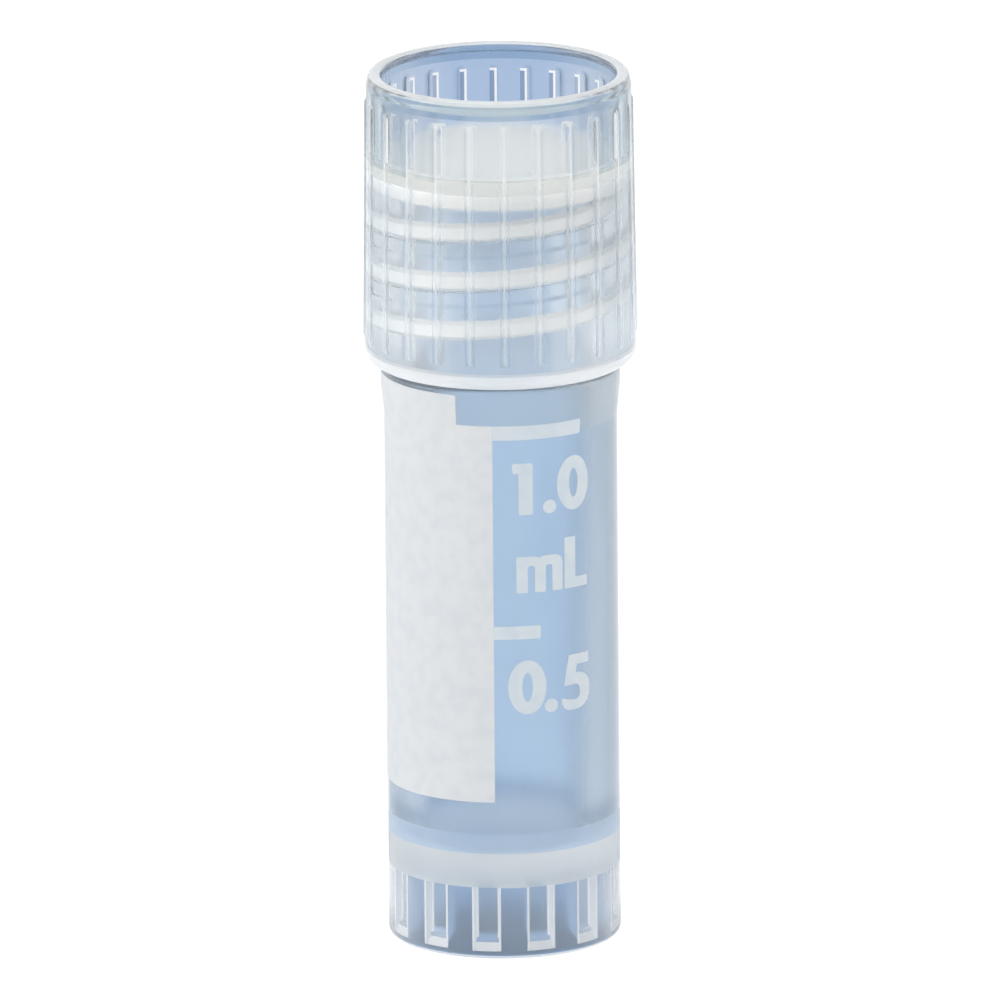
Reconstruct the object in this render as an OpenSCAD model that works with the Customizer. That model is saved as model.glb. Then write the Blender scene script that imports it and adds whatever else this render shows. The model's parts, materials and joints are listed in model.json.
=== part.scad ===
// Self-standing cryogenic vial, 1.2 mL, external thread, with a screw cap and its seal.
// Millimetres. The origin is the centre of the base and +Z points up.
// The cap is drawn screwed down, with its seal touching the mouth of the tube.

/* [Tube] */
// Height of the tube from its foot to its mouth
tube_h = 36.3; // [30:0.1:50]
// Outside diameter of the body
body_d = 10.9; // [10.4:0.1:14]
// Bore diameter at the inside floor
bore_floor_d = 7.5; // [5:0.1:8]
// Bore diameter at the mouth
bore_mouth_d = 8.6; // [6:0.1:8.9]
// Thickness of the solid floor under the bore
floor_t = 1.3; // [0.8:0.1:3]
// Radius where the bore meets its floor
floor_fillet = 1; // [0.2:0.1:2]
// How far the flare under the shoulder stands out from the body
collar_w = 0.15; // [0:0.05:0.4]
// Height of the straight part of that flare
collar_h = 0.9; // [0.4:0.1:3]
// Height over which the flare fades into the body
flare_h = 1.4; // [0.5:0.1:4]

/* [Foot] */
// Depth of the hollow under the floor
foot_depth = 3.5; // [2:0.1:8]
// Wall of the skirt round that hollow
skirt_wall = 0.65; // [0.5:0.05:1.5]
// Number of locking ribs inside the skirt
foot_ribs = 12; // [4:1:16]
// Width of one locking rib
foot_rib_w = 1; // [0.5:0.05:1.4]
// How far a locking rib stands in from the skirt
foot_rib_h = 0.65; // [0.3:0.05:1]
// Height of the ribs' lower ends above the base
foot_rib_lift = 0.35; // [0:0.05:1]
// Rounding of the foot's outer edge
foot_round = 0.35; // [0.1:0.05:0.45]

/* [Neck] */
// Height of the neck above the shoulder
neck_h = 8.7; // [7.5:0.1:14]
// Width of the shoulder round the neck
shoulder_w = 0.5; // [0.3:0.05:0.7]
// Rounding of the edges at the shoulder and the mouth
neck_round = 0.2; // [0.05:0.05:0.25]

/* [Thread] */
// Rise of the thread in one turn
pitch = 2.35; // [2:0.05:3]
// How far the thread stands out from the neck
thread_h = 0.4; // [0.3:0.05:0.6]
// Width of the thread's crest
crest_w = 0.5; // [0.3:0.05:0.6]
// Width of the thread at its root
root_w = 0.9; // [0.6:0.05:1]
// Turns of thread on the neck
neck_turns = 2.6; // [1.5:0.1:2.7]
// Turns of thread inside the cap
cap_turns = 1.75; // [1:0.25:2]
// From the mouth down to the middle of the thread's top end
thread_top = 0.5; // [0.5:0.05:1]
// How far the cap's thread lies below the neck's, middle to middle
thread_drop = 0.8; // [0.8:0.05:1.2]

/* [Cap] */
// Depth of the open well in the top of the cap
well_depth = 4; // [2:0.05:8]
// Wall round the well, at the lip
lip_w = 0.67; // [0.5:0.01:1]
// Wall of the skirt, just above its lower edge
cap_wall = 0.86; // [0.8:0.01:1.6]
// How much narrower the cap is at its top, on each side
cap_taper = 0.15; // [0:0.01:0.3]
// Thickness of the web under the well
web_t = 0.6; // [0.4:0.05:1.5]
// Height of the lip round the well
lip_h = 0.5; // [0.3:0.05:1]
// Step in from the wall to the lip
lip_step = 0.06; // [0:0.01:0.2]
// Rounding of the cap's lower outer edge
cap_round = 0.75; // [0.2:0.05:0.8]
// Number of grip ribs
grip_ribs = 24; // [8:1:36]
// Width of one grip rib
grip_rib_w = 0.5; // [0.2:0.05:0.8]
// How far a grip rib stands out
grip_rib_h = 0.08; // [0.03:0.01:0.2]
// Turn of the first grip rib from the X axis, in degrees
grip_turn = 2; // [0:0.5:15]
// Plain band between the grip ribs and the top of the cap
grip_top = 1.15; // [0.8:0.05:4]
// Plain band between the grip ribs and the cap's lower edge
grip_bottom = 1.35; // [1:0.05:4]

/* [Seal] */
// Thickness of the seal
seal_t = 0.75; // [0.4:0.05:2]

/* [Clearances] */
// Between the shoulder and the cap's lower edge
cap_gap = 0.12; // [0.05:0.01:0.5]
// Between a thread's crest and the wall that it faces
crest_gap = 0.15; // [0.1:0.01:0.2]
// Between the rim of the seal and the inside of the cap
seal_gap = 0.1; // [0.05:0.01:0.3]

/* [Hidden] */
$fn = 96;
eps = 0.01;
sink = 0.2;
thread_end = -10;
foot_rib_turn = 20;

neck_d = body_d - 2 * shoulder_w;
shoulder_z = tube_h - neck_h;
bore_floor_z = foot_depth + floor_t;
seal_z = tube_h;
web_z = seal_z + seal_t;
well_z = web_z + web_t;
cap_top_z = well_z + well_depth;
cap_z = shoulder_z + cap_gap;
cap_bore_d = neck_d + 2 * thread_h + 2 * crest_gap;
cap_d = cap_bore_d + 2 * cap_wall;
cap_top_d = cap_d - 2 * cap_taper;
lip_d = cap_top_d - 2 * lip_step;
well_d = lip_d - 2 * lip_w;
seal_d = cap_bore_d - 2 * seal_gap;

// Points along an arc in the X-Z plane, from angle a0 to angle a1 in degrees
function arc(x, z, r, a0, a1, steps = 6) =
    [for (i = [0:steps]) let (a = a0 + (a1 - a0) * i / steps) [x + r * cos(a), z + r * sin(a)]];

// Points of a pocket's half section: flat floor, rounded corner, wall
function pocket(floor_r, floor_z, fillet) =
    concat([[0, floor_z]], arc(floor_r - fillet, floor_z + fillet, fillet, -90, 0));

// A helical ridge about the Z axis. Its top end is at angle a1 and height z1.
// It grows from the wall at root_r out or in to crest_r, and both ends sink into the wall.
// Each ring of points runs root low, crest low, crest high, root high.
module ridge(root_r, crest_r, z1, a1, turns) {
    fade = 45;
    bury = 0.25;
    span = 360 * turns;
    rings = ceil(span / 10);
    side = sign(crest_r - root_r);
    sunk_r = root_r - side * sink;
    last = 4 * rings;
    points = [
        for (i = [0:rings])
            let (
                a = span * i / rings,
                rise = min(1, (1 + bury) * min(a, span - a) / fade - bury),
                r = root_r + (crest_r - root_r) * rise,
                z = z1 - pitch * (span - a) / 360,
                turn = a1 - span + a
            )
            for (p = [[sunk_r, -root_w / 2], [r, -crest_w / 2], [r, crest_w / 2], [sunk_r, root_w / 2]])
                [p[0] * cos(turn), p[0] * sin(turn), z + p[1]]
    ];
    faces = concat(
        [[0, 3, 2], [0, 2, 1], [last, last + 1, last + 2], [last, last + 2, last + 3]],
        [
            for (i = [0:rings - 1], k = [0:3])
                let (p = 4 * i + k, q = 4 * i + (k + 1) % 4)
                each [[p, q, q + 4], [p, q + 4, p + 4]]
        ]
    );
    polyhedron(points, side > 0 ? faces : [for (f = faces) [f[0], f[2], f[1]]]);
}

// Outer form of the tube, as half a section
module tube_outline() {
    collar_r = body_d / 2 + collar_w;
    polygon(concat(
        [[0, 0]],
        arc(body_d / 2 - foot_round, foot_round, foot_round, -90, 0),
        [[body_d / 2, shoulder_z - collar_h - flare_h], [collar_r, shoulder_z - collar_h]],
        arc(collar_r - neck_round, shoulder_z - neck_round, neck_round, 0, 90),
        [[neck_d / 2, shoulder_z]],
        arc(neck_d / 2 - neck_round, tube_h - neck_round, neck_round, 0, 90),
        [[0, tube_h]]
    ));
}

// The bore, which widens a little towards the mouth, as half a section
module bore_outline() {
    polygon(concat(
        pocket(bore_floor_d / 2, bore_floor_z, floor_fillet),
        [[bore_mouth_d / 2, tube_h], [bore_mouth_d / 2, tube_h + eps], [0, tube_h + eps]]
    ));
}

// One locking rib inside the foot, with a sloped lower end
module foot_rib() {
    skirt_r = body_d / 2 - skirt_wall;
    root_r = skirt_r + skirt_wall / 2;
    tip_r = skirt_r - foot_rib_h;
    top = foot_depth + eps;
    translate([0, foot_rib_w / 2, 0])
        rotate([90, 0, 0])
            linear_extrude(foot_rib_w)
                polygon([
                    [tip_r, top],
                    [tip_r, foot_rib_lift + foot_rib_h],
                    [skirt_r, foot_rib_lift],
                    [root_r, foot_rib_lift],
                    [root_r, top]
                ]);
}

module tube() {
    color([0.72, 0.84, 0.94, 0.6]) {
        difference() {
            rotate_extrude() tube_outline();
            rotate_extrude() bore_outline();
            translate([0, 0, -eps]) cylinder(d = body_d - 2 * skirt_wall, h = foot_depth + eps);
        }
        for (i = [0:foot_ribs - 1]) rotate([0, 0, foot_rib_turn + 360 / foot_ribs * i]) foot_rib();
        ridge(neck_d / 2, neck_d / 2 + thread_h, tube_h - thread_top, thread_end, neck_turns);
    }
}

// Outer form of the cap, as half a section
module cap_outline() {
    lip_round = min(lip_h, lip_w / 2) * 0.9;
    polygon(concat(
        [[0, cap_z], [cap_d / 2 - cap_round, cap_z]],
        arc(cap_d / 2 - cap_round, cap_z + cap_round, cap_round, -90, 0),
        [[cap_top_d / 2, cap_top_z - lip_h], [lip_d / 2, cap_top_z - lip_h]],
        arc(lip_d / 2 - lip_round, cap_top_z - lip_round, lip_round, 0, 90),
        [[0, cap_top_z]]
    ));
}

// The well in the top of the cap, with a rounded mouth, as half a section
module well_outline() {
    fillet = 0.3;
    lip_round = min(lip_h, lip_w / 2) * 0.9;
    polygon(concat(
        pocket(well_d / 2, well_z, fillet),
        arc(well_d / 2 + lip_round, cap_top_z - lip_round, lip_round, 180, 90),
        [[well_d / 2 + lip_round, cap_top_z + eps], [0, cap_top_z + eps]]
    ));
}

// One grip rib: a low round bar that leans with the wall and has a rounded top
module grip_rib() {
    bar_r = (pow(grip_rib_w / 2, 2) + pow(grip_rib_h, 2)) / (2 * grip_rib_h);
    wall_low = cap_z + cap_round;
    lean = atan(cap_taper / (cap_top_z - lip_h - wall_low));
    low = grip_bottom - cap_round;
    high = cap_top_z - grip_top - wall_low;
    translate([cap_d / 2, 0, wall_low])
        rotate([0, -lean, 0])
            translate([grip_rib_h - bar_r, 0, 0]) {
                translate([0, 0, low]) cylinder(r = bar_r, h = high - low, $fn = 48);
                translate([0, 0, high]) sphere(r = bar_r, $fn = 48);
            }
}

module cap() {
    color([0.86, 0.91, 0.96, 0.5]) {
        difference() {
            union() {
                rotate_extrude() cap_outline();
                for (i = [0:grip_ribs - 1]) rotate([0, 0, grip_turn + 360 / grip_ribs * i]) grip_rib();
            }
            translate([0, 0, cap_z - eps]) cylinder(d = cap_bore_d, h = web_z - cap_z + eps);
            rotate_extrude() well_outline();
        }
        ridge(cap_bore_d / 2, neck_d / 2 + crest_gap, tube_h - thread_top - thread_drop,
              thread_end, cap_turns);
    }
}

module seal() {
    color([0.93, 0.94, 0.94])
        translate([0, 0, seal_z]) cylinder(d = seal_d, h = seal_t);
}

tube();
cap();
seal();
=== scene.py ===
import json
import math

import bmesh
import bpy
from mathutils import Matrix, Vector


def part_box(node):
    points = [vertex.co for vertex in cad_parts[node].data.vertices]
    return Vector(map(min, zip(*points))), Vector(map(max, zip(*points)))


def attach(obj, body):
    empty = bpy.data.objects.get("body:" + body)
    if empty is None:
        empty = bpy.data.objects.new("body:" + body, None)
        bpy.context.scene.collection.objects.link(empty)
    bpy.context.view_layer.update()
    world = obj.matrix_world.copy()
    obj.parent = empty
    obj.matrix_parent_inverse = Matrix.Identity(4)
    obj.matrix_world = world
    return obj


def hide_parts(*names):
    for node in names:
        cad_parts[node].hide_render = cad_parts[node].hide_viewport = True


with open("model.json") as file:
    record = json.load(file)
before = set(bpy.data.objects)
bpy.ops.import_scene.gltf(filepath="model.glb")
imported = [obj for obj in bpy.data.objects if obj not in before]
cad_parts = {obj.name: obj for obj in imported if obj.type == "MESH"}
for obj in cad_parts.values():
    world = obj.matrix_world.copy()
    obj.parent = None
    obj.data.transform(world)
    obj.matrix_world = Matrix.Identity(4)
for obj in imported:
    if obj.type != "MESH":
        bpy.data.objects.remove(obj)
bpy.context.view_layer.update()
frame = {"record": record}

# ---------------------------------------------------------------- tube
# The tube: one injection moulding of clear polypropylene, a little cloudy and faintly blue.
# It has a tapered bore, a threaded neck above a narrow shoulder, and a hollow foot whose
# ribs lock into a rack. All meshes are turned in millimetres and then scaled to metres.
MM = 0.001
SPECK = 0.001  # two places closer than this count as one

mounts = {m["name"]: m for m in frame["record"]["mounts"]}
tube_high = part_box("tube")[1] / MM
tube_top, collar_r = tube_high.z, tube_high.x
body_r, neck_r, skirt_r = mounts["body"]["dims"]["r_mm"], 4.95, 4.8
bore_floor_r, bore_mouth_r, bore_round = 3.75, 4.3, 1.0
shoulder_z = 27.6
collar_low, flare_low = shoulder_z - 0.9, shoulder_z - 2.3
foot_roof, bore_floor = 3.5, 4.8
# the pale layer is painted light: half opaque, so that the lamps brighten it
band_high, pale_high = 5.15, 6.1  # the tops of the cloudy band and of the pale layer on it
rim_round, mouth_round, fillet = 0.35, 0.2, 0.12
tube_columns = 240

# thread: heights and widths in millimetres, where it ends and how far it fades, in degrees
pitch, thread_h = 2.35, 0.4
crest_w, root_w = 0.5, 0.9
thread_end, thread_fade = -10.0, 45.0
neck_thread_top, neck_turns = tube_top - 0.5, 2.6
thread_row, skirt_row = 0.04, 0.2  # heights of the mesh's rows on the neck and in the foot

foot_ribs, foot_rib_w, foot_rib_h, foot_rib_turn = 12, 1.0, 0.65, 20.0
foot_rib_low, foot_rib_slope = 0.35, 0.65
# columns of the mesh on each rib, as shares of half its width, and beside it, in degrees
foot_rib_columns, flank_column, root_column = (0, 0.42, 0.82, 1), 0.7, 1.9
rib_middle, rib_beside = 6, 8  # degrees to which a face counts as on the rib or as its flank


def half_section(corners):
    """A chain of edges through named (radius, height) corners, to be rounded and turned."""
    bm = bmesh.new()
    at = {name: bm.verts.new((r, 0, z)) for name, (r, z) in corners.items()}
    chain = list(at.values())
    for a, b in zip(chain, chain[1:]):
        bm.edges.new((a, b))
    return bm, at


def round_corners(bm, corners, radius, segments):
    bmesh.ops.bevel(bm, geom=corners, offset=radius, segments=segments, profile=0.5,
                    affect="VERTICES", material=-1)


def divide_wall(bm, z, spacing, side=max):
    """Cuts a wall that passes height z into rows: the outermost, or the innermost with min."""
    walls = [e for e in bm.edges if min(v.co.z for v in e.verts) < z < max(v.co.z for v in e.verts)]
    wall = side(walls, key=lambda e: e.verts[0].co.x)
    bmesh.ops.subdivide_edges(bm, edges=[wall], cuts=int(wall.calc_length() / spacing))


def turn_full(bm, columns):
    """Turns the half section about Z into a closed solid whose faces point outwards."""
    bmesh.ops.spin(bm, geom=bm.verts[:] + bm.edges[:], cent=(0, 0, 0), axis=(0, 0, 1),
                   dvec=(0, 0, 0), angle=2 * math.pi, steps=columns, space=Matrix(),
                   use_merge=True, use_normal_flip=False, use_duplicate=False)
    bmesh.ops.remove_doubles(bm, verts=bm.verts, dist=1e-4)
    bmesh.ops.recalc_face_normals(bm, faces=bm.faces)


def from_rib(co, first, spacing):
    """How many degrees a point is past the middle of the nearest rib."""
    turn = math.degrees(math.atan2(co.y, co.x)) - first
    return (turn + spacing / 2) % spacing - spacing / 2


def thread_rise(co, top_z, turns):
    """How far a point is up the thread, 0 on the bare wall and 1 on the crest."""
    turn = (math.degrees(math.atan2(co.y, co.x)) - thread_end) / 360
    turn += round((co.z - top_z) / pitch - turn)
    across = abs(co.z - top_z - pitch * turn)
    flank = min(1, max(0, (root_w / 2 - across) / (root_w / 2 - crest_w / 2)))
    ends = min(1, max(0, min(-turn, turns + turn) * 360 / thread_fade))
    return flank * flank * (3 - 2 * flank) * ends


def to_object(bm, name, *materials, sharp=35):
    """Makes the piece in metres, shaded smooth but at edges of more degrees than sharp."""
    bmesh.ops.scale(bm, vec=(MM, MM, MM), verts=bm.verts)
    mesh = bpy.data.meshes.new(name)
    bm.to_mesh(mesh)
    bm.free()
    for material in materials:
        mesh.materials.append(material)
    mesh.polygons.foreach_set("use_smooth", [True] * len(mesh.polygons))
    mesh.set_sharp_from_angle(angle=math.radians(sharp))
    obj = bpy.data.objects.new(name, mesh)
    bpy.context.collection.objects.link(obj)
    even = obj.modifiers.new("even_shading", "WEIGHTED_NORMAL")
    even.keep_sharp = True
    return obj


def feed(link, socket, value):
    """Links a socket to another node's output, or sets it to a number or a colour."""
    if isinstance(value, bpy.types.NodeSocket):
        link(value, socket)
    else:
        socket.default_value = (*value, 1) if isinstance(value, tuple) else value


def worked_out(nodes, link, operation, *values):
    """One step of arithmetic on numbers and other nodes' outputs."""
    node = nodes.new("ShaderNodeMath")
    node.operation = operation
    for socket, value in zip(node.inputs, values):
        feed(link, socket, value)
    return node.outputs["Value"]


def ranged(nodes, link, value, low, high, at_low=0, at_high=1):
    """Goes from at_low to at_high while the value goes from low to high, and no further."""
    span = nodes.new("ShaderNodeMapRange")
    for name, given in (("Value", value), ("From Min", low), ("From Max", high),
                        ("To Min", at_low), ("To Max", at_high)):
        feed(link, span.inputs[name], given)
    return span.outputs["Result"]


def mixed_colour(nodes, link, mask, first, second):
    """The first colour where the mask is 0 and the second where it is 1."""
    tint = nodes.new("ShaderNodeMix")
    tint.data_type = "RGBA"
    colour_a, colour_b, result = tint.inputs[6], tint.inputs[7], tint.outputs[2]
    for socket, value in ((tint.inputs["Factor"], mask), (colour_a, first), (colour_b, second)):
        feed(link, socket, value)
    return result


def mixed_shader(nodes, link, mask, first, second):
    blend = nodes.new("ShaderNodeMixShader")
    for socket, value in zip(blend.inputs, (mask, first, second)):
        feed(link, socket, value)
    return blend.outputs["Shader"]


def speckle(nodes, link, place, scale, detail):
    noise = nodes.new("ShaderNodeTexNoise")
    noise.inputs["Scale"].default_value = scale
    noise.inputs["Detail"].default_value = detail
    link(place, noise.inputs["Vector"])
    return noise.outputs["Fac"]


def relief(nodes, link, height, strength, distance):
    bump = nodes.new("ShaderNodeBump")
    bump.inputs["Distance"].default_value = distance
    feed(link, bump.inputs["Strength"], strength)
    link(height, bump.inputs["Height"])
    return bump.outputs["Normal"]


def moulding_group():
    """Cloudiness, ripple and shine of moulded polypropylene, shared by the tube and the cap."""
    group = bpy.data.node_groups.new("moulded_polypropylene", "ShaderNodeTree")
    sockets = {"INPUT": {"Clear": "Color", "Cloud": "Color", "Roughness": "Float", "Ripple": "Float"},
               "OUTPUT": {"Color": "Color", "Roughness": "Float", "Normal": "Vector"}}
    for way, named in sockets.items():
        for name, kind in named.items():
            group.interface.new_socket(name=name, in_out=way, socket_type="NodeSocket" + kind)
    nodes, link = group.nodes, group.links.new
    source, sink = nodes.new("NodeGroupInput"), nodes.new("NodeGroupOutput")
    # the flow of the melt draws its clouds and ripples out along the vial
    place = nodes.new("ShaderNodeTexCoord")
    drawn_out = nodes.new("ShaderNodeMapping")
    drawn_out.inputs["Scale"].default_value = (1, 1, 0.18)
    link(place.outputs["Object"], drawn_out.inputs["Vector"])
    streaks = speckle(nodes, link, drawn_out.outputs["Vector"], 420, 3)
    cloudy = ranged(nodes, link, streaks, 0.35, 0.7)
    tint = mixed_colour(nodes, link, cloudy, source.outputs["Clear"], source.outputs["Cloud"])
    link(tint, sink.inputs["Color"])
    duller = worked_out(nodes, link, "MULTIPLY_ADD", cloudy, 0.06, source.outputs["Roughness"])
    link(duller, sink.inputs["Roughness"])
    waves = speckle(nodes, link, drawn_out.outputs["Vector"], 900, 2)
    link(relief(nodes, link, waves, source.outputs["Ripple"], 0.00002), sink.inputs["Normal"])
    return group


polypropylene = moulding_group()


def mix_tint(material, mask, colour):
    """Turns the tint towards another colour where the mask is 1."""
    nodes, link = material.node_tree.nodes, material.node_tree.links.new
    base = nodes["Principled BSDF"].inputs["Base Color"]
    link(mixed_colour(nodes, link, mask, base.links[0].from_socket, colour), base)


bend_inside = 1.22  # how much further from square a ray inside the plastic counts
lamp_light_passed = (0.96, 0.96, 0.96)


def polypropylene_material(name, clear, cloud, roughness, transmission, scatter=0.0, aslant=(), ior=1.49):
    """Clear plastic, or cloudy where scatter lets light through it in all directions. Seen
    aslant it can have other tints. Light from the lamps passes through to what is inside."""
    material = bpy.data.materials.new(name)
    material.use_nodes = True
    nodes, link = material.node_tree.nodes, material.node_tree.links.new
    shader = nodes["Principled BSDF"]
    shader.inputs["IOR"].default_value = ior
    shader.inputs["Transmission Weight"].default_value = transmission
    look = nodes.new("ShaderNodeGroup")
    look.node_tree = polypropylene
    for socket, value in (("Clear", clear), ("Cloud", cloud), ("Roughness", roughness), ("Ripple", 0.25)):
        feed(link, look.inputs[socket], value)
    for ours, theirs in (("Color", "Base Color"), ("Roughness", "Roughness"), ("Normal", "Normal")):
        link(look.outputs[ours], shader.inputs[theirs])
    if aslant:
        facing = nodes.new("ShaderNodeLayerWeight")
        facing.inputs["Blend"].default_value = 0.5
        # inside the plastic the same ray is bent closer to square
        side = nodes.new("ShaderNodeNewGeometry")
        bent = worked_out(nodes, link, "MULTIPLY_ADD", side.outputs["Backfacing"], bend_inside, 1)
        slant = worked_out(nodes, link, "MULTIPLY", facing.outputs["Facing"], bent)
        for start, end, colour in aslant:
            mix_tint(material, ranged(nodes, link, slant, start, end), colour)
    seen = shader.outputs["BSDF"]
    if scatter:
        through = nodes.new("ShaderNodeBsdfTranslucent")
        link(look.outputs["Color"], through.inputs["Color"])
        seen = mixed_shader(nodes, link, scatter, seen, through.outputs["BSDF"])
    ray = nodes.new("ShaderNodeLightPath")
    passing = nodes.new("ShaderNodeBsdfTransparent")
    feed(link, passing.inputs["Color"], lamp_light_passed)
    seen = mixed_shader(nodes, link, ray.outputs["Is Shadow Ray"], seen, passing.outputs["BSDF"])
    link(seen, nodes["Material Output"].inputs["Surface"])
    return material


bm, at = half_section({
    "roof_middle": (0, foot_roof), "roof": (skirt_r, foot_roof), "rim_inside": (skirt_r, 0),
    "rim_outside": (body_r, 0), "roof_level": (body_r, foot_roof), "band_top": (body_r, band_high),
    "pale_top": (body_r, pale_high), "flare": (body_r, flare_low), "collar": (collar_r, collar_low),
    "shoulder": (collar_r, shoulder_z), "neck_foot": (neck_r, shoulder_z),
    "mouth_outside": (neck_r, tube_top), "mouth_inside": (bore_mouth_r, tube_top),
    "bore_floor": (bore_floor_r, bore_floor), "bore_middle": (0, bore_floor)})
round_corners(bm, [at["bore_floor"]], bore_round, 8)
round_corners(bm, [at["rim_outside"]], rim_round, 6)
round_corners(bm, [at["shoulder"], at["mouth_outside"], at["mouth_inside"]], mouth_round, 5)
round_corners(bm, [at["roof"], at["rim_inside"], at["neck_foot"]], fillet, 3)
divide_wall(bm, tube_top - 1, thread_row)
divide_wall(bm, foot_roof / 2, skirt_row, min)
turn_full(bm, tube_columns)

# the thread rises from the neck, and the columns of the foot gather at the edges of its ribs
sector = 360 / foot_ribs
for v in bm.verts:
    r = math.hypot(v.co.x, v.co.y)
    if r > neck_r - SPECK and v.co.z > shoulder_z + 0.3:
        grow = 1 + thread_rise(v.co, neck_thread_top, neck_turns) * thread_h / r
        v.co.x, v.co.y = v.co.x * grow, v.co.y * grow
    elif 0.1 < v.co.z < foot_roof + 0.01 and skirt_r - 0.2 < r < skirt_r + 0.01:
        turn = math.degrees(math.atan2(v.co.y, v.co.x))
        off = from_rib(v.co, foot_rib_turn, sector)
        column = round(abs(off) / 360 * tube_columns)
        on_rib = column < len(foot_rib_columns)
        rise = min(1, max(0, (v.co.z - foot_rib_low) / foot_rib_slope))
        inset = rise * foot_rib_h if on_rib else 0
        edge = math.degrees(math.asin(foot_rib_w / 2 / (skirt_r - inset)))
        root = edge + root_column
        if on_rib:
            spread = edge * foot_rib_columns[column]
        else:
            spread = edge + flank_column if column == 4 else root + (sector / 2 - root) * (column - 5) / 5
        angle = math.radians(turn - off + math.copysign(spread, off))
        v.co.x, v.co.y = (r - inset) * math.cos(angle), (r - inset) * math.sin(angle)

# Each part of the moulding has its own finish: glossy outer walls and a duller bore and foot. The foot's
# wall and ribs are painted dark as the shade in its hollow, and the ribs' flanks and lower ends and the
# rim carry painted highlights. The thread and the bore's floor are partly cloudy: the thread is also a
# painted highlight, and the bore's floor and the pale layer are painted light.
WALL, COLLAR, BORE, BASE_PAINTED_LIGHT, BAND, PALE_PAINTED_LIGHT, NECK, NECK_BORE, THREAD_CLOUDY_AND_HIGHLIGHT, CLEAR, FOOT_PAINTED_SHADE, RIM_PAINTED_HIGHLIGHT, FOOT_RIB_PAINTED_SHADE, FLANK_PAINTED_HIGHLIGHT = range(14)


def outer_finish(z):
    """From the foot up: clear, the cloudy band, the pale layer of painted light, the blue wall and the
    collar.
    """
    if z > flare_low:
        return COLLAR
    if z < foot_roof:
        return CLEAR
    if z < band_high:
        return BAND
    return PALE_PAINTED_LIGHT if z < pale_high else WALL


def foot_finish(z, off, radii):
    """The hollow of the foot: its ribs and its wall, painted dark as the shade inside the hollow, with
    painted highlights on the ribs' flanks, their lower ends and the rim.
    """
    if foot_rib_low < z < foot_rib_low + 0.25 and off < rib_beside:
        return FLANK_PAINTED_HIGHLIGHT
    if foot_rib_low < z < foot_roof and rib_middle < off < rib_beside:
        return FLANK_PAINTED_HIGHLIGHT
    if z > foot_roof - fillet - 0.01 and min(radii) > skirt_r - 0.2:
        return FLANK_PAINTED_HIGHLIGHT
    if z < 0.1:
        return RIM_PAINTED_HIGHLIGHT
    if z > foot_roof - 0.01:
        return CLEAR
    return FOOT_RIB_PAINTED_SHADE if foot_rib_low < z < foot_roof - fillet - 0.01 and off < rib_middle else FOOT_PAINTED_SHADE


def tube_finish(f):
    """The finish of a face by its place: rim, outer wall, foot, neck, bore or bore's floor."""
    radii = [math.hypot(v.co.x, v.co.y) for v in f.verts]
    middle = f.calc_center_median()
    z = middle.z
    if z < rim_round + 0.01 and min(radii) > skirt_r + 0.01:
        return RIM_PAINTED_HIGHLIGHT if z < 0.14 else CLEAR
    if min(radii) > body_r - SPECK or abs(z - shoulder_z) < 0.25 and min(radii) > neck_r - 0.01:
        return outer_finish(z)
    if z < foot_roof + 0.01 and max(radii) < skirt_r + 0.01:
        return foot_finish(z, abs(from_rib(middle, foot_rib_turn, sector)), radii)
    if z > shoulder_z and min(radii) > bore_mouth_r + 0.1:
        return THREAD_CLOUDY_AND_HIGHLIGHT if max(radii) > neck_r + 0.02 and z < neck_thread_top + 0.5 else NECK
    if z > shoulder_z - 1:
        return NECK_BORE
    if z > foot_roof:
        return BASE_PAINTED_LIGHT if z < bore_floor + 0.9 else BORE
    return WALL


for f in bm.faces:
    f.material_index = tube_finish(f)

water_blue, water_cloud = (0.575, 0.695, 0.835), (0.625, 0.735, 0.845)
neck_blue, neck_cloud = (0.58, 0.68, 0.79), (0.63, 0.72, 0.81)
# the neck turns near white seen aslant, a painted reflection of the bright surround at its sides
deep_blue, neck_painted_reflection = (0.36, 0.46, 0.57), (0.97, 0.98, 0.985)
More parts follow.
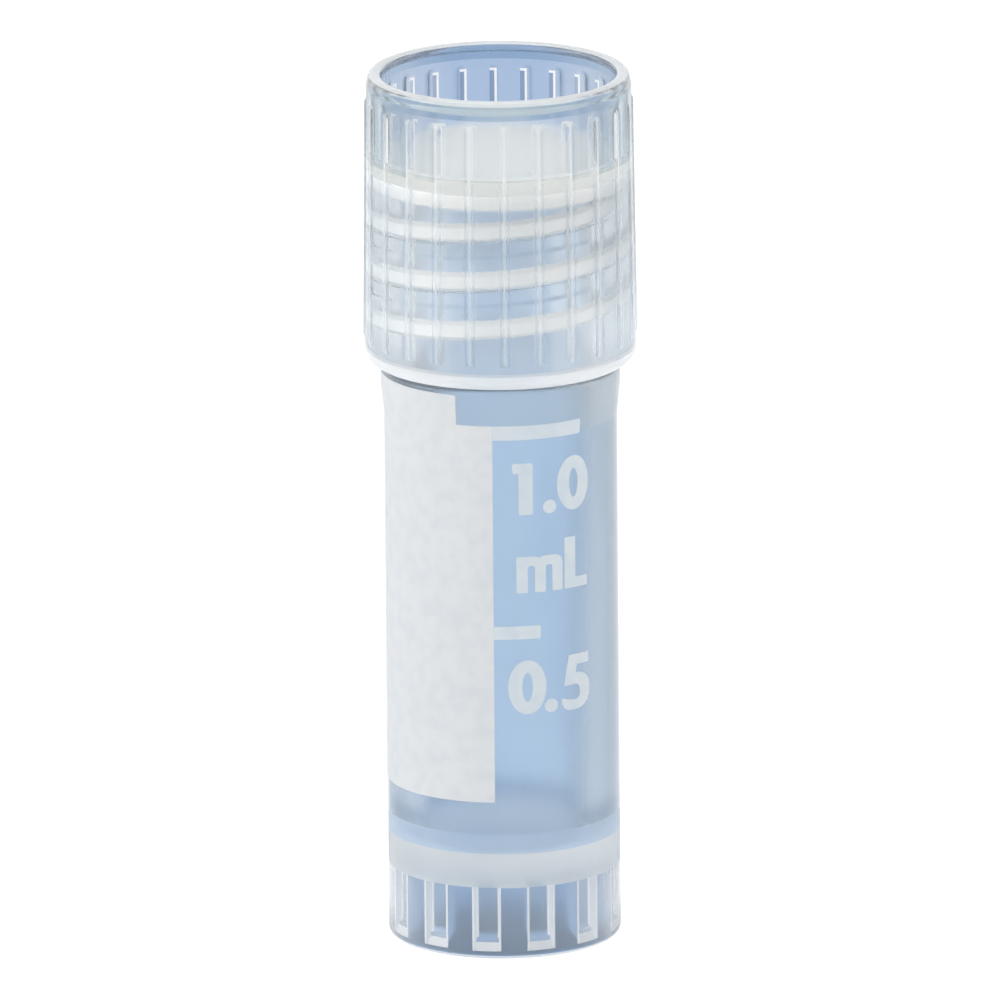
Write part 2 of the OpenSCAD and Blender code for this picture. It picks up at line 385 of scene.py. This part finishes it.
# clear and cloudy colour, roughness, transmission, scatter, tints seen aslant, refractive index
tube_looks = {
    "wall": (water_blue, water_cloud, 0.08, 0.97, 0, [(0.25, 0.6, deep_blue)]),
    "collar": ((0.55, 0.62, 0.68), (0.59, 0.65, 0.69), 0.15, 0.9, 0.08),
    "bore": (water_blue, water_cloud, 0.3, 0.97, 0, [(0.3, 0.7, deep_blue)]),
    # base: the bore's floor, partly cloudy and partly painted light, near white so that it looks lit
    "base": ((0.90, 0.95, 1.0), (0.94, 0.97, 1.0), 0.7, 0.8, 0.2),
    "band": ((0.66, 0.71, 0.75), (0.71, 0.75, 0.77), 0.5, 0.7),
    # pale: painted light, half opaque so that the lamps brighten it
    "pale": ((0.44, 0.57, 0.74), (0.48, 0.60, 0.76), 0.3, 0.5, 0.15),
    "neck": (neck_blue, neck_cloud, 0.1, 1.0, 0, [(0.07, 0.09, neck_painted_reflection)], 1.12),
    "neck_bore": (neck_blue, neck_cloud, 0.15, 1.0, 0, [(0.18, 0.21, neck_painted_reflection)], 1.12),
    # thread: partly cloudy plastic and partly a painted highlight, near white and nearly opaque
    "thread": ((0.95, 0.96, 0.945), (0.965, 0.97, 0.96), 0.5, 0.05, 0.2),
    "clear": ((0.94, 0.965, 0.98), (0.96, 0.975, 0.99), 0.1, 1.0),
    # foot: the hollow's wall, painted deep blue as the shade inside the hollow
    "foot": ((0.22, 0.36, 0.60), (0.27, 0.42, 0.64), 0.35, 0.97),
    # rim: the foot's lower edge, painted near white as a highlight
    "rim": ((0.93, 0.96, 0.99), (0.96, 0.98, 1.0), 0.4, 0.4, 0.2),
    # rib: the foot's ribs, painted deep blue as the shade inside the hollow
    "rib": ((0.28, 0.41, 0.58), (0.34, 0.47, 0.62), 0.35, 0.95),
    # flank: the foot ribs' flanks, lower ends and root fillets, painted white as a highlight
    "flank": ((0.95, 0.96, 0.97), (0.97, 0.975, 0.98), 0.4, 0.0, 0.2)}
tube_materials = [polypropylene_material("tube_" + name, *look) for name, look in tube_looks.items()]
tube = to_object(bm, "tube_moulding", *tube_materials)
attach(tube, "tube")
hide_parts("tube")

# ---------------------------------------------------------------- print
# Screen-printed white ink: a writing panel that wraps round one side, two level lines
# and their plain volume numbers. Each is a film of ink, cut flat and wrapped on the body.
ink_gap, ink_t = 0.01, 0.02
panel_left, panel_right, tab_right = (math.radians(turn) * body_r for turn in (-134, -4.4, -22.3))
panel_low, panel_high, tab_high = 7.66, 25.91, shoulder_z - 0.25
# each level line: where it ends round the body, in degrees, and its lower and upper edges
level_lines = ((42, 25.21, panel_high), (19, 15.57, 16.2))


def flat_shape(bm, *loops):
    """Fills flat outlines of (across, up, rounding) points; a loop inside another is a hole."""
    edges = []
    for loop in loops:
        ring = [bm.verts.new((u, 0, z)) for u, z, _ in loop]
        made = [bm.edges.new((a, b)) for a, b in zip(ring, ring[1:] + ring[:1])]
        before = set(bm.edges) - set(made)
        for vert, (_, _, rounding) in zip(ring, loop):
            if rounding:
                round_corners(bm, [vert], rounding, 5)
        edges += [e for e in bm.edges if e not in before]
    bmesh.ops.triangle_fill(bm, use_beauty=True, edges=edges)


def oval(bm, u, z, width, height, counter_w, counter_h):
    """An upright ring: the figure nought, or a plain dot where the counter is nothing."""
    ring = []
    for w, h in ((width, height), (counter_w, counter_h)):
        if w:
            place = Matrix.Translation((u, 0, z)) @ Matrix.Diagonal((w / 2, 1, h / 2, 1))
            made = bmesh.ops.create_circle(bm, segments=40, radius=1, cap_ends=False,
                                           matrix=place @ Matrix.Rotation(math.pi / 2, 4, "X"))
            ring += dict.fromkeys(e for v in made["verts"] for e in v.link_edges)
    bmesh.ops.triangle_fill(bm, use_beauty=True, edges=ring)


def wrap_film(bm, spacing=0.12):
    """Cuts flat ink into narrow strips, bends it round the body and gives it its thickness."""
    low, high = (f(v.co.x for v in bm.verts) for f in (min, max))
    cuts = [((low + i * spacing, 0, 0), (1, 0, 0)) for i in range(1, int((high - low) / spacing))]
    cuts += [((0, 0, z), (0, 0, 1)) for z in (flare_low, collar_low)]
    for place, across in cuts:
        bmesh.ops.bisect_plane(bm, geom=bm.verts[:] + bm.edges[:] + bm.faces[:], dist=1e-5,
                               plane_co=place, plane_no=across)
    for v in bm.verts:
        angle = v.co.x / body_r - math.pi / 2
        flare = min(1, max(0, (v.co.z - flare_low) / (collar_low - flare_low)))
        r = body_r + flare * (collar_r - body_r) + ink_gap
        v.co.x, v.co.y = r * math.cos(angle), r * math.sin(angle)
    bmesh.ops.recalc_face_normals(bm, faces=bm.faces)
    outward = [f.calc_center_median() * Vector((1, 1, 0)) for f in bm.faces]
    if sum(f.normal.dot(way) for f, way in zip(bm.faces, outward)) < 0:
        bmesh.ops.reverse_faces(bm, faces=bm.faces)
    bmesh.ops.solidify(bm, geom=bm.faces[:], thickness=-ink_t)


light_through_ink = 0.35


def ink_material(name, colour, thin):
    """White ink with the small pinholes and thin spots that a screen leaves."""
    material = bpy.data.materials.new(name)
    material.use_nodes = True
    nodes, link = material.node_tree.nodes, material.node_tree.links.new
    shader = nodes["Principled BSDF"]
    shader.inputs["Roughness"].default_value = 0.5
    place = nodes.new("ShaderNodeTexCoord")
    grain = speckle(nodes, link, place.outputs["Object"], 1500, 3)
    cover = ranged(nodes, link, grain, 0.35, 0.6)
    link(mixed_colour(nodes, link, cover, thin, colour), shader.inputs["Base Color"])
    link(relief(nodes, link, grain, 0.4, 0.00001), shader.inputs["Normal"])
    through = nodes.new("ShaderNodeBsdfTranslucent")
    feed(link, through.inputs["Color"], colour)
    film = mixed_shader(nodes, link, light_through_ink, shader.outputs["BSDF"], through.outputs["BSDF"])
    link(film, nodes["Material Output"].inputs["Surface"])
    return material


panel_ink = ink_material("panel_ink", (0.83, 0.845, 0.855), (0.765, 0.795, 0.825))
edge_ink = ink_material("edge_ink", (0.79, 0.84, 0.87), (0.72, 0.79, 0.85))

bm = bmesh.new()
flat_shape(bm, [(panel_left, panel_low, 0.1), (panel_right, panel_low, 0.1), (panel_right, panel_high, 0),
                (tab_right, panel_high, 0), (tab_right, tab_high, 0.1), (panel_left, tab_high, 0.1)])
wrap_film(bm)
panel = to_object(bm, "print_panel", panel_ink)
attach(panel, "tube")

bm = bmesh.new()
for turn, low, high in level_lines:
    start, end = panel_right + 0.01, math.radians(turn) * body_r
    flat_shape(bm, [(start, low, 0), (end, low, 0.1), (end, high, 0.1), (start, high, 0)])
for u, z in ((2.3, 21.89), (2.32, 12.25)):
    oval(bm, u, z, 0.68, 0.66, 0, 0)
for u, z in ((3.6, 22.88), (1.15, 13.23)):
    oval(bm, u, z, 1.84, 2.62, 0.5, 1.4)
# the other figures, each from its lower left corner: (across, up, rounding)
one = ((0.32, 0, 0.05), (1.0, 0, 0.05), (1.0, 2.49, 0.15), (0, 2.49, 0.1), (0.05, 2.0, 0.05), (0.32, 2.0, 0))
small_m = ((0, 0, 0.04), (0.54, 0, 0.04), (0.54, 1.3, 0.12), (0.88, 1.3, 0.12), (0.88, 0, 0.04),
           (1.42, 0, 0.04), (1.42, 1.3, 0.12), (1.75, 1.3, 0.12), (1.75, 0, 0.04), (2.29, 0, 0.04),
           (2.29, 1.75, 0.4), (1.22, 1.75, 0.15), (1.1, 1.65, 0), (0.98, 1.75, 0.15), (0, 1.75, 0.04))
big_l = ((0, 0, 0.04), (1.33, 0, 0.04), (1.33, 0.5, 0.04), (0.62, 0.5, 0.04), (0.62, 2.48, 0.04),
         (0, 2.48, 0.04))
five = ((0.42, 2.67, 0.04), (1.62, 2.67, 0.04), (1.62, 2.17, 0.04), (0.88, 2.17, 0.04), (0.82, 1.78, 0.02),
        (1.69, 1.78, 0.75), (1.69, 0, 0.85), (0, 0, 0.5), (0.02, 0.62, 0.04), (0.5, 0.5, 0.1),
        (1.06, 0.45, 0.3), (1.06, 1.25, 0.3), (0.14, 1.2, 0.04))
figures = ((one, 0.47, 21.58), (small_m, 0.66, 17.8), (big_l, 3.06, 17.8), (five, 2.84, 11.88))
for figure, across, up in figures:
    flat_shape(bm, [(across + u, up + z, rounding) for u, z, rounding in figure])
wrap_film(bm)
scale_print = to_object(bm, "print_scale", edge_ink)
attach(scale_print, "tube")

# ---------------------------------------------------------------- seal
# The seal: a flat disc of white silicone, moulded on its own. It is pressed into the cap
# and held between the cap's web and the mouth of the tube.
seal_low, seal_high = (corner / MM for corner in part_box("seal"))
seal_skin, seal_round, seal_columns = 0.01, 0.08, 160
seal_r, seal_bottom, seal_top = seal_high.x - seal_skin, seal_low.z + seal_skin, seal_high.z - seal_skin

bm, at = half_section({"low_middle": (0, seal_bottom), "low_edge": (seal_r, seal_bottom),
                       "high_edge": (seal_r, seal_top), "high_middle": (0, seal_top)})
round_corners(bm, [at["low_edge"], at["high_edge"]], seal_round, 3)
turn_full(bm, seal_columns)

silicone = bpy.data.materials.new("white_silicone")
silicone.use_nodes = True
nodes, link = silicone.node_tree.nodes, silicone.node_tree.links.new
shader = nodes["Principled BSDF"]
shader.inputs["Roughness"].default_value = 0.55
place = nodes.new("ShaderNodeTexCoord")
mottle = speckle(nodes, link, place.outputs["Object"], 700, 2)
silicone_white = mixed_colour(nodes, link, mottle, (0.765, 0.77, 0.755), (0.805, 0.805, 0.785))
link(silicone_white, shader.inputs["Base Color"])
shader.inputs["Subsurface Weight"].default_value = 0.7
shader.inputs["Subsurface Radius"].default_value = (1, 1, 1)
shader.inputs["Subsurface Scale"].default_value = 0.0008
seal = to_object(bm, "seal_disc", silicone)
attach(seal, "seal")
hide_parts("seal")

# ---------------------------------------------------------------- cap
# The screw cap: one moulding of clear polypropylene with an open well in its top, a thin
# rounded lip, fine grip ribs round the outside and a thread inside the skirt.
cap_low, cap_high = (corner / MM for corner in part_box("cap"))
web_z = seal_high.z
well_floor = web_z + 0.6
cap_bore_r, cap_r, cap_top_r = 5.5, 6.36, 6.21
lip_r, well_r, lip_h = 6.15, 5.48, 0.5
edge_round, lip_round, well_round, cap_fillet = 0.75, 0.3, 0.3, 0.08
cap_thread_top, cap_turns = neck_thread_top - 0.8, 1.75
cap_crest_r = neck_r + 0.15
grip_ribs, grip_rib_w, grip_rib_h, grip_turn = 24, 0.5, 0.08, 2.0
grip_low, grip_high = cap_low.z + 1.25, cap_high.z - 1.2
# the height of the painted highlight at the top of each rib's mark in the well
rib_highlight_top_h = 0.12
# columns of the mesh crowd together at each rib: degrees from the rib's middle
rib_columns = (0, 0.6, 1.2, 1.8, 2.3, 4.9, 7.5)
sector_columns = 2 * (len(rib_columns) - 1)
crest_edge, rib_root, rib_foot = rib_columns[1], rib_columns[2], rib_columns[4]
grip_row, cap_thread_row = 0.1, 0.0555
cap_middle = (cap_low.z + cap_high.z) / 2

bm, at = half_section({
    "well_middle": (0, well_floor), "well_floor": (well_r, well_floor),
    "mark_low": (well_r, grip_high - rib_highlight_top_h), "mark_high": (well_r, grip_high),
    "lip_inside": (well_r, cap_high.z), "lip_outside": (lip_r, cap_high.z),
    "lip_foot": (lip_r, cap_high.z - lip_h), "skirt_top": (cap_top_r, cap_high.z - lip_h),
    "skirt_edge": (cap_r, cap_low.z), "bore_mouth": (cap_bore_r, cap_low.z),
    "bore_end": (cap_bore_r, web_z), "web_middle": (0, web_z)})
round_corners(bm, [at["skirt_edge"]], edge_round, 8)
round_corners(bm, [at["lip_inside"], at["lip_outside"]], lip_round, 6)
round_corners(bm, [at["well_floor"]], well_round, 5)
round_corners(bm, [at["skirt_top"], at["bore_mouth"], at["bore_end"]], cap_fillet, 3)
divide_wall(bm, cap_middle, grip_row)
divide_wall(bm, cap_middle, cap_thread_row, min)
turn_full(bm, grip_ribs * sector_columns)

# the grip ribs stand up from the skirt as low half rounds, and the thread from the bore
sector = 360 / grip_ribs
for v in bm.verts:
    r = math.hypot(v.co.x, v.co.y)
    if r < SPECK:
        continue
    turn = math.degrees(math.atan2(v.co.y, v.co.x))
    off = from_rib(v.co, 0, sector)
    near = rib_columns[round(abs(off) * sector_columns / sector)]
    angle = math.radians(grip_turn + turn - off + math.copysign(near, off))
    if r > lip_r + 0.05 and grip_low < v.co.z < grip_high:
        across = max(0, 1 - (math.radians(near) * r / (grip_rib_w / 2)) ** 2)
        to_end = min(v.co.z - grip_low, grip_high - v.co.z) / (grip_rib_w / 2)
        r += grip_rib_h * across * math.sqrt(1 - (1 - min(1, to_end)) ** 2)
    v.co.x, v.co.y = r * math.cos(angle), r * math.sin(angle)
    if abs(r - cap_bore_r) < SPECK and v.co.z < web_z - 0.3:
        r -= thread_rise(v.co, cap_thread_top, cap_turns) * (cap_bore_r - cap_crest_r)
        v.co.x, v.co.y = r * math.cos(angle), r * math.sin(angle)

# The lower edge and the top of the lip are partly cloudy and partly painted highlights, the crests of the
# ribs are painted highlights, the band below the lip is painted shade, and the web scatters more light.
# The wall of the well carries painted shade on one side of each rib that stands behind it and a painted
# highlight on the other.
SKIRT, UPPER, LIP_PAINTED_SHADE, CREST_PAINTED_HIGHLIGHT, SHADE, EDGE_CLOUDY_AND_HIGHLIGHT, INNER, WELL, FILLET, RIB_PAINTED_SHADE, RIB_PAINTED_HIGHLIGHT, WEB = range(12)


def grip_finish(z, off):
    """The skirt along its ribs: their crests with a painted highlight, the painted shade at their roots and
    the wall between.
    """
    if abs(off) < crest_edge:
        return CREST_PAINTED_HIGHLIGHT
    if z > well_floor:
        return UPPER
    return SHADE if rib_root < abs(off) < rib_foot else SKIRT


def well_finish(z, off):
    """The wall of the well, with the painted shade and painted highlight of each rib behind it."""
    if z < well_floor + well_round:
        return FILLET
    if z > grip_high or not -rib_root < off < rib_foot:
        return WELL
    return RIB_PAINTED_HIGHLIGHT if off < 0 or z > grip_high - rib_highlight_top_h else RIB_PAINTED_SHADE


def cap_finish(f):
    """The finish of a face by its place: edges, grip, lip, inside, web or well."""
    middle = f.calc_center_median()
    r, z, off = math.hypot(middle.x, middle.y), middle.z, from_rib(middle, grip_turn, sector)
    if z < cap_low.z + edge_round or z > cap_high.z - 0.07:
        return EDGE_CLOUDY_AND_HIGHLIGHT
    if r > cap_top_r - 0.05 and grip_low < z < grip_high:
        return grip_finish(z, off)
    if r > cap_top_r - 0.08 and z > grip_high - 0.1:
        return LIP_PAINTED_SHADE if cap_high.z - 0.85 < z < cap_high.z - 0.2 else UPPER
    if r < cap_bore_r + 0.01 and z < web_z - 0.1:
        return INNER
    if web_z - 0.1 < z < well_floor + 0.12 and r < well_r + 0.01:
        return WEB
    if well_floor < z < cap_high.z and r < well_r + 0.3:
        return well_finish(z, off)
    return SKIRT


for f in bm.faces:
    f.material_index = cap_finish(f)

clear_plastic, clear_cloud = (0.965, 0.975, 0.985), (0.975, 0.985, 0.99)
# seen aslant the cap turns white, a painted reflection of the bright surround at its sides, then greyer
# towards the outline
sides_painted_reflection = [(0.06, 0.1, (1, 1, 1)), (0.3, 0.5, (0.80, 0.85, 0.89))]
# clear and cloudy colour, roughness, transmission, scatter, tints seen aslant, refractive index
cap_looks = {
    "skirt": (clear_plastic, clear_cloud, 0.16, 1.0, 0, sides_painted_reflection),
    # upper: darker blue-grey seen aslant, painted shade at the sides of the skirt above the well's floor
    "upper": (clear_plastic, clear_cloud, 0.16, 1.0, 0, [(0.12, 0.5, (0.40, 0.50, 0.58))]),
    # lip: the band below the rim, painted dark blue as shade
    "lip": ((0.42, 0.55, 0.66), (0.48, 0.60, 0.69), 0.16, 1.0),
    # crest: the grip ribs' crests, painted white as a highlight
    "crest": ((0.97, 0.98, 0.99), (0.99, 1.0, 1.0), 0.4, 0.85, 0.12),
    "shade": ((0.84, 0.90, 0.95), (0.88, 0.92, 0.96), 0.4, 1.0, 0, (), 1.35),
    # edge: the lower edge and the top of the lip, partly cloudy and partly a painted highlight
    "edge": ((0.95, 0.97, 0.98), (0.97, 0.98, 0.99), 0.45, 0.55, 0.2),
    "inner": ((0.975, 0.98, 0.98), (0.985, 0.985, 0.985), 0.15, 0.87, 0.1, sides_painted_reflection, 1.08),
    "well": ((0.90, 0.935, 0.965), (0.93, 0.955, 0.98), 0.08, 1.0, 0, [(0.08, 0.5, (0.70, 0.78, 0.86))]),
    "fillet": (clear_plastic, clear_cloud, 0.5, 1.0, 0, (), 1.15),
    # the marks of the ribs behind the well's wall: painted shade on one side of each, a painted highlight on
    # the other
    "rib_painted_shade": ((0.92, 0.95, 0.975), (0.95, 0.97, 0.985), 0.08, 1.0),
    "rib_painted_highlight": ((0.98, 0.99, 1.0), (1.0, 1.0, 1.0), 0.3, 0.4, 0.2),
    "web": ((0.89, 0.90, 0.88), (0.92, 0.92, 0.90), 0.4, 0.35, 0.35)}
cap_materials = [polypropylene_material("cap_" + name, *look) for name, look in cap_looks.items()]
# seen from inside the well, the wall, its fillet and the ribs' marks are painted dark blue as shade, paler
# where the wall curves round to the sides; looked at through the plastic they stay clear
well_painted_shade = {WELL: (0.13, 0.22, 0.42), FILLET: (0.17, 0.29, 0.50), RIB_PAINTED_SHADE: (0.05, 0.10, 0.22)}
for look, colour in well_painted_shade.items():
    nodes, link = cap_materials[look].node_tree.nodes, cap_materials[look].node_tree.links.new
    side = nodes.new("ShaderNodeNewGeometry")
    from_well = worked_out(nodes, link, "SUBTRACT", 1, side.outputs["Backfacing"])
    facing = nodes.new("ShaderNodeLayerWeight")
    facing.inputs["Blend"].default_value = 0.5
    paler = ranged(nodes, link, facing.outputs["Facing"], 0.1, 0.5, 1, 0.72)
    mix_tint(cap_materials[look], worked_out(nodes, link, "MULTIPLY", from_well, paler), colour)
cap = to_object(bm, "cap_moulding", *cap_materials, sharp=80)
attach(cap, "cap")
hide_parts("cap")

# ---------------------------------------------------------------- studio
# A white sheet to stand on and an even white surround, both plain white where they are seen
# directly, with a soft lamp at the left and a weak one at the right. Gloss shows the surround
# dim ahead of the vial, and clear plastic shows the sheet dim under the foot.
surround_light, seen_directly = 1.05, 1.0
gloss_ahead, gloss_around = 0.55, 1.6
through_left, through_right = 1.1, 0.95
ahead_turn = math.radians(16)
sheet_size, sheet_white, sheet_seen_directly = 3000, 0.95, 1.1
foot_shade_r, sheet_clear_r, foot_shade, sheet_through = 0.0045, 0.009, 0.22, 1.15


def ways_seen(nodes, link):
    """Masks for what is seen directly, mirrored in gloss, and through clear plastic."""
    ray = nodes.new("ShaderNodeLightPath")
    unlit = worked_out(nodes, link, "LESS_THAN", ray.outputs["Diffuse Depth"], 0.5)
    mirrored, through = (worked_out(nodes, link, "MULTIPLY", ray.outputs[name], unlit)
                         for name in ("Is Glossy Ray", "Is Transmission Ray"))
    return ray.outputs["Is Camera Ray"], mirrored, through


def chosen(nodes, link, otherwise, *cases):
    """A value that each mask in turn replaces with its own."""
    result = otherwise
    for mask, value in cases:
        blend = nodes.new("ShaderNodeMix")
        for name, given in (("Factor", mask), ("A", result), ("B", value)):
            feed(link, blend.inputs[name], given)
        result = blend.outputs["Result"]
    return result


world = bpy.data.worlds.new("white_surround")
bpy.context.scene.world = world
world.use_nodes = True
nodes, link = world.node_tree.nodes, world.node_tree.links.new
nodes.clear()
way = nodes.new("ShaderNodeTexCoord")
ahead = nodes.new("ShaderNodeVectorMath")
ahead.operation = "DOT_PRODUCT"
ahead.inputs[1].default_value = (math.sin(ahead_turn), -math.cos(ahead_turn), 0)
link(way.outputs["Generated"], ahead.inputs[0])
split = nodes.new("ShaderNodeSeparateXYZ")
link(way.outputs["Generated"], split.inputs["Vector"])
direct, mirrored, through = ways_seen(nodes, link)
in_gloss = ranged(nodes, link, ahead.outputs["Value"], 0.84, 0.77, gloss_ahead, gloss_around)
in_plastic = ranged(nodes, link, split.outputs["X"], -0.5, 0.5, through_left, through_right)
strength = chosen(nodes, link, surround_light, (mirrored, in_gloss), (through, in_plastic),
                  (direct, seen_directly))
surround = nodes.new("ShaderNodeBackground")
feed(link, surround.inputs["Color"], (1, 1, 1))
link(strength, surround.inputs["Strength"])
link(surround.outputs["Background"], nodes.new("ShaderNodeOutputWorld").inputs["Surface"])

bm = bmesh.new()
bmesh.ops.create_grid(bm, x_segments=1, y_segments=1, size=sheet_size)
floor_material = bpy.data.materials.new("white_sheet")
floor_material.use_nodes = True
nodes, link = floor_material.node_tree.nodes, floor_material.node_tree.links.new
nodes.clear()
place = nodes.new("ShaderNodeTexCoord")
far = nodes.new("ShaderNodeVectorMath")
far.operation = "LENGTH"
link(place.outputs["Object"], far.inputs[0])
direct, mirrored, through = ways_seen(nodes, link)
in_plastic = ranged(nodes, link, far.outputs["Value"], foot_shade_r, sheet_clear_r, foot_shade, sheet_through)
strength = chosen(nodes, link, in_plastic, (direct, sheet_seen_directly))
share = chosen(nodes, link, 0.0, (direct, 0.75), (through, 0.7), (mirrored, 0.7))
paper = nodes.new("ShaderNodeBsdfDiffuse")
feed(link, paper.inputs["Color"], (sheet_white, sheet_white, sheet_white))
glow = nodes.new("ShaderNodeEmission")
feed(link, glow.inputs["Color"], (1, 1, 1))
link(strength, glow.inputs["Strength"])
sheet = mixed_shader(nodes, link, share, paper.outputs["BSDF"], glow.outputs["Emission"])
link(sheet, nodes.new("ShaderNodeOutputMaterial").inputs["Surface"])
floor = to_object(bm, "floor", floor_material)

vial_middle = Vector((0, 0, 0.021))


def soft_lamp(name, place, size, power):
    lamp = bpy.data.lights.new(name, "AREA")
    lamp.shape, lamp.size, lamp.energy = "SQUARE", size, power
    obj = bpy.data.objects.new(name, lamp)
    obj.location = place
    obj.rotation_euler = (Vector(place) - vial_middle).to_track_quat("Z", "Y").to_euler()
    bpy.context.collection.objects.link(obj)


soft_lamp("key", (-0.50, -0.08, 0.30), 0.30, 0.85)
soft_lamp("fill", (0.45, -0.30, 0.25), 0.30, 0.15)

elevation, roll, distance = math.radians(14.8), math.radians(0.45), 1.6
lens_data = bpy.data.cameras.new("camera")
lens_data.sensor_width, lens_data.lens = 36, 1227
lens_data.clip_start, lens_data.clip_end = 0.1, 20
camera = bpy.data.objects.new("camera", lens_data)
target = Vector((-0.00008, 0, 0.0209))
back = Vector((0, -math.cos(elevation), math.sin(elevation)))
camera.location = target + back * distance
level = (-back).to_track_quat("-Z", "Y").to_matrix()
camera.rotation_euler = (level @ Matrix.Rotation(-roll, 3, "Z")).to_euler()
bpy.context.collection.objects.link(camera)
bpy.context.scene.camera = camera
bpy.context.scene.view_settings.view_transform = "Standard"
bpy.context.scene.cycles.transmission_bounces = 20
bpy.context.scene.cycles.max_bounces = 20
